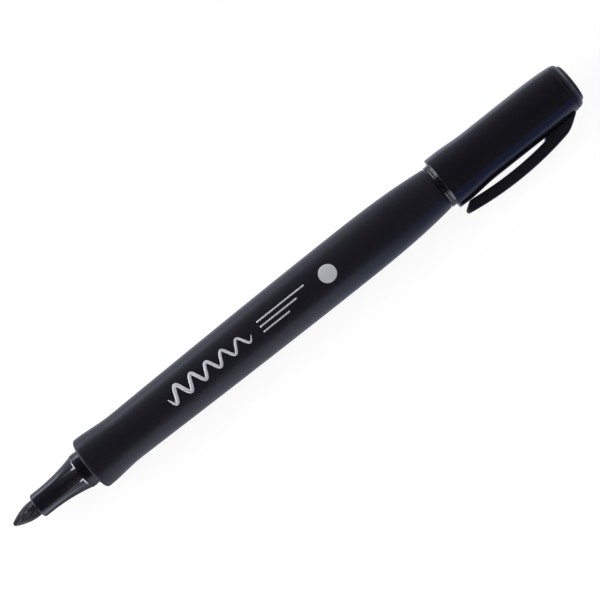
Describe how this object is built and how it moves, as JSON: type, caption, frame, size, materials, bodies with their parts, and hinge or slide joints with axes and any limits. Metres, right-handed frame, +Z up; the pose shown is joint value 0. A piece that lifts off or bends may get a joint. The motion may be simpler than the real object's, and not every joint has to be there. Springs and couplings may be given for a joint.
{
  "type": "permanent marker",
  "caption": "Slim permanent marker with a bullet nib, a soft-touch waisted barrel and a glossy clip cap posted on its rear end.",
  "frame": {"origin": "middle of the marker's footprint, on the table it lies on", "axes": "+X along the marker from the nib towards the end of the cap, +Z up from the table; the clip points to -Y and 29 degrees below the horizontal, so that its edge touches the table"},
  "size_m": [0.1502, 0.0154, 0.0125],
  "materials": {
    "soft_touch_black": "soft-touch matte",
    "gloss_black": "glossy moulded",
    "cap_black": "high gloss moulded",
    "clip_black": "satin moulded",
    "inked_felt": "pressed felt, soaked with ink",
    "inked_fibre": "bonded fibre, soaked with ink",
    "clear_film": "thin clear film",
    "natural_plastic": "undyed moulded"
  },
  "bodies": {
    "marker": {"barrel": "soft_touch_black", "nib_holder": "gloss_black", "nib": "inked_felt", "ink_reservoir": "inked_fibre", "reservoir_film": "clear_film", "tail_plug": "gloss_black"},
    "inner_cup": {"cap_inner_cup": "natural_plastic"},
    "cap": {"cap_shell": "cap_black", "cap_end_plug": "cap_black"},
    "clip": {"clip": "clip_black"}
  },
  "joints": [
    {"name": "cap_slide", "type": "slide", "parent": "marker", "child": "inner_cup", "axis": [1, 0, 0], "range_m": [0, 0.02]},
    {"name": "cap_turn", "type": "hinge", "parent": "inner_cup", "child": "cap", "pos_m": [0.0555, 0.00143, 0.00627], "axis": [1, 0, 0], "continuous": true},
    {"name": "clip_flex", "type": "hinge", "parent": "cap", "child": "clip", "pos_m": [0.07118, -0.00319, 0.00367], "axis": [0, -0.4897, 0.8719], "range_deg": [0, 4], "stiffness_Nm_per_rad": 0.3}
  ]
}
